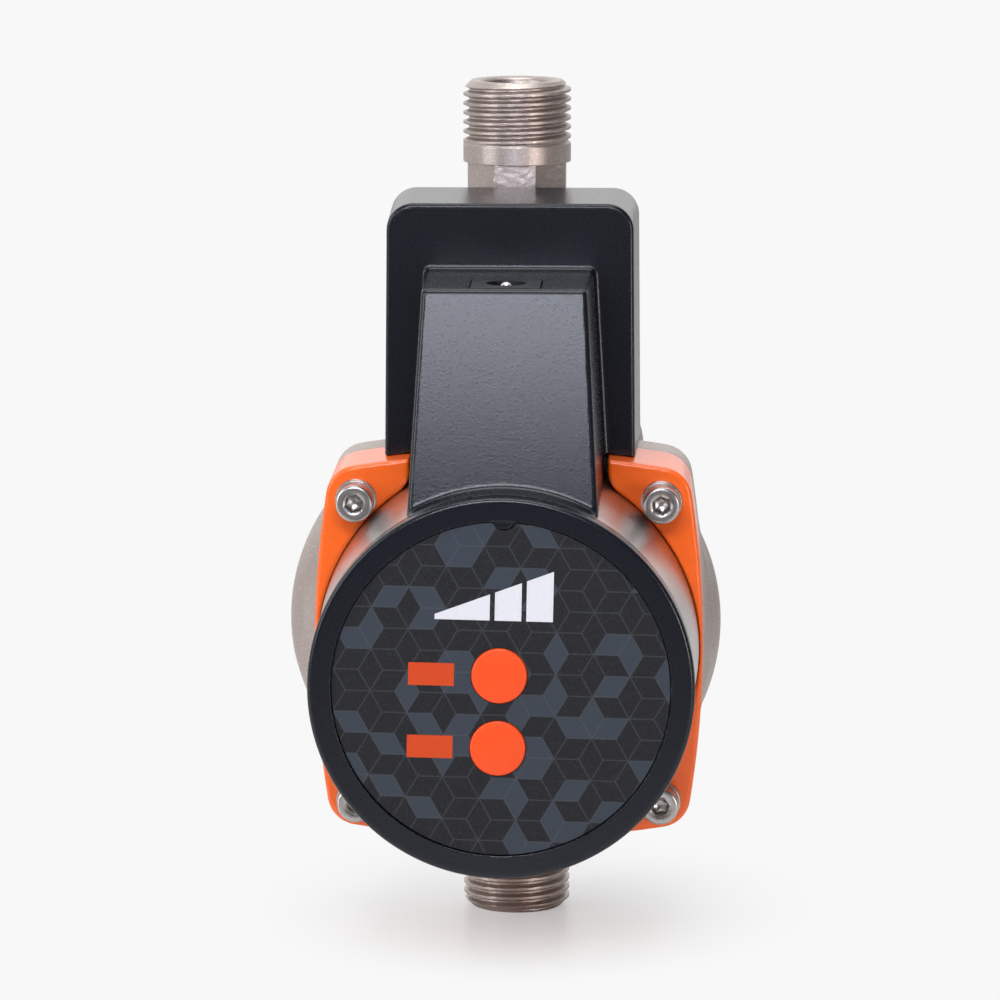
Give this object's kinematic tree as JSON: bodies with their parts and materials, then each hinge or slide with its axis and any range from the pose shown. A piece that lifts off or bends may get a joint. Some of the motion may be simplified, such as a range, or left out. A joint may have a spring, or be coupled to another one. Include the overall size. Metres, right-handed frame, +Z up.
{
  "type": "shower pump",
  "caption": "Inline shower booster pump: cast casing with threaded port at each end, clamped can motor and a push-button control head on an arm from its electronics box.",
  "frame": {"origin": "centre of the inlet pipe's end face, at the bottom of the pump", "axes": "+Z up the pipe from the inlet to the outlet, -Y along the motor axis towards the control panel, +X to the right of someone facing the panel"},
  "size_m": [0.084, 0.1004, 0.164],
  "materials": {
    "cast_stainless": "sandblasted stainless casting",
    "black_rubber": "matt",
    "plate_steel": "drawn sheet",
    "graphite": "graphite filled",
    "ceramic": "ground ceramic, gloss plastic stands in",
    "orange_paint": "gloss orange paint",
    "turned_aluminium": "fine turned",
    "lamination": "electrical steel laminations",
    "copper": "enamelled copper winding, brass stands in",
    "ferrite": "ground ferrite magnet",
    "impeller_plastic": "natural moulding",
    "screw_steel": "turned stainless",
    "housing_plastic": "fine moulded texture, dark grey",
    "board_green": "solder mask on glass laminate",
    "capacitor_sleeve": "printed sleeve over aluminium",
    "black_plastic": "black moulding",
    "cable_grey": "flat ribbon",
    "wire_red": "insulated wire",
    "panel_print": "speckled print with a fine rhomb pattern",
    "orange_plastic": "orange moulding",
    "white_print": "white window",
    "contact_metal": "plated pin"
  },
  "bodies": {
    "pump": {"pump_casing": "cast_stainless", "inlet_port": "cast_stainless", "outlet_port": "cast_stainless", "casing_ring_seal": "black_rubber", "bearing_plate": "plate_steel", "pump_side_bearing": "graphite", "motor_end_bearing": "graphite", "thrust_washers": "ceramic", "rotor_cup": "plate_steel", "motor_flange": "orange_paint", "motor_can": "turned_aluminium", "stator_core": "lamination", "stator_coils": "copper", "cap_screws": "screw_steel", "spring_washers": "screw_steel", "flat_washers": "screw_steel", "control_housing": "housing_plastic", "box_cover": "housing_plastic", "cover_screws": "screw_steel", "bracket_screws": "screw_steel", "control_board": "board_green", "board_capacitors": "capacitor_sleeve", "flow_sensor": "black_plastic", "board_lead": "cable_grey", "display_board": "board_green", "panel_switches": "black_plastic", "panel_carrier": "housing_plastic", "panel_film": "panel_print", "indicator_lamps": "orange_plastic", "level_bars": "white_print", "socket_body": "black_plastic", "socket_pin": "contact_metal", "socket_insert": "black_plastic", "float_seat": "black_plastic", "float_stop": "black_plastic", "motor_leads": "wire_red", "power_leads": "wire_red"},
    "rotor": {"rotor_shaft": "ceramic", "rotor_magnet": "ferrite", "impeller": "impeller_plastic", "impeller_shroud": "impeller_plastic", "impeller_nut": "screw_steel"},
    "float": {"flow_float": "impeller_plastic", "float_magnet": "ferrite"},
    "upper_button": {"upper_button": "orange_plastic"},
    "lower_button": {"lower_button": "orange_plastic"}
  },
  "joints": [
    {"name": "rotor_spin", "type": "hinge", "parent": "pump", "child": "rotor", "pos_m": [0, 0, 0.0607], "axis": [0, -1, 0], "continuous": true},
    {"name": "float_rise", "type": "slide", "parent": "pump", "child": "float", "axis": [0, 0, 1], "range_m": [0, 0.005]},
    {"name": "upper_button_press", "type": "slide", "parent": "pump", "child": "upper_button", "axis": [0, 1, 0], "range_m": [0, 0.0005], "stiffness_N_per_m": 3000},
    {"name": "lower_button_press", "type": "slide", "parent": "pump", "child": "lower_button", "axis": [0, 1, 0], "range_m": [0, 0.0005], "stiffness_N_per_m": 3000}
  ]
}
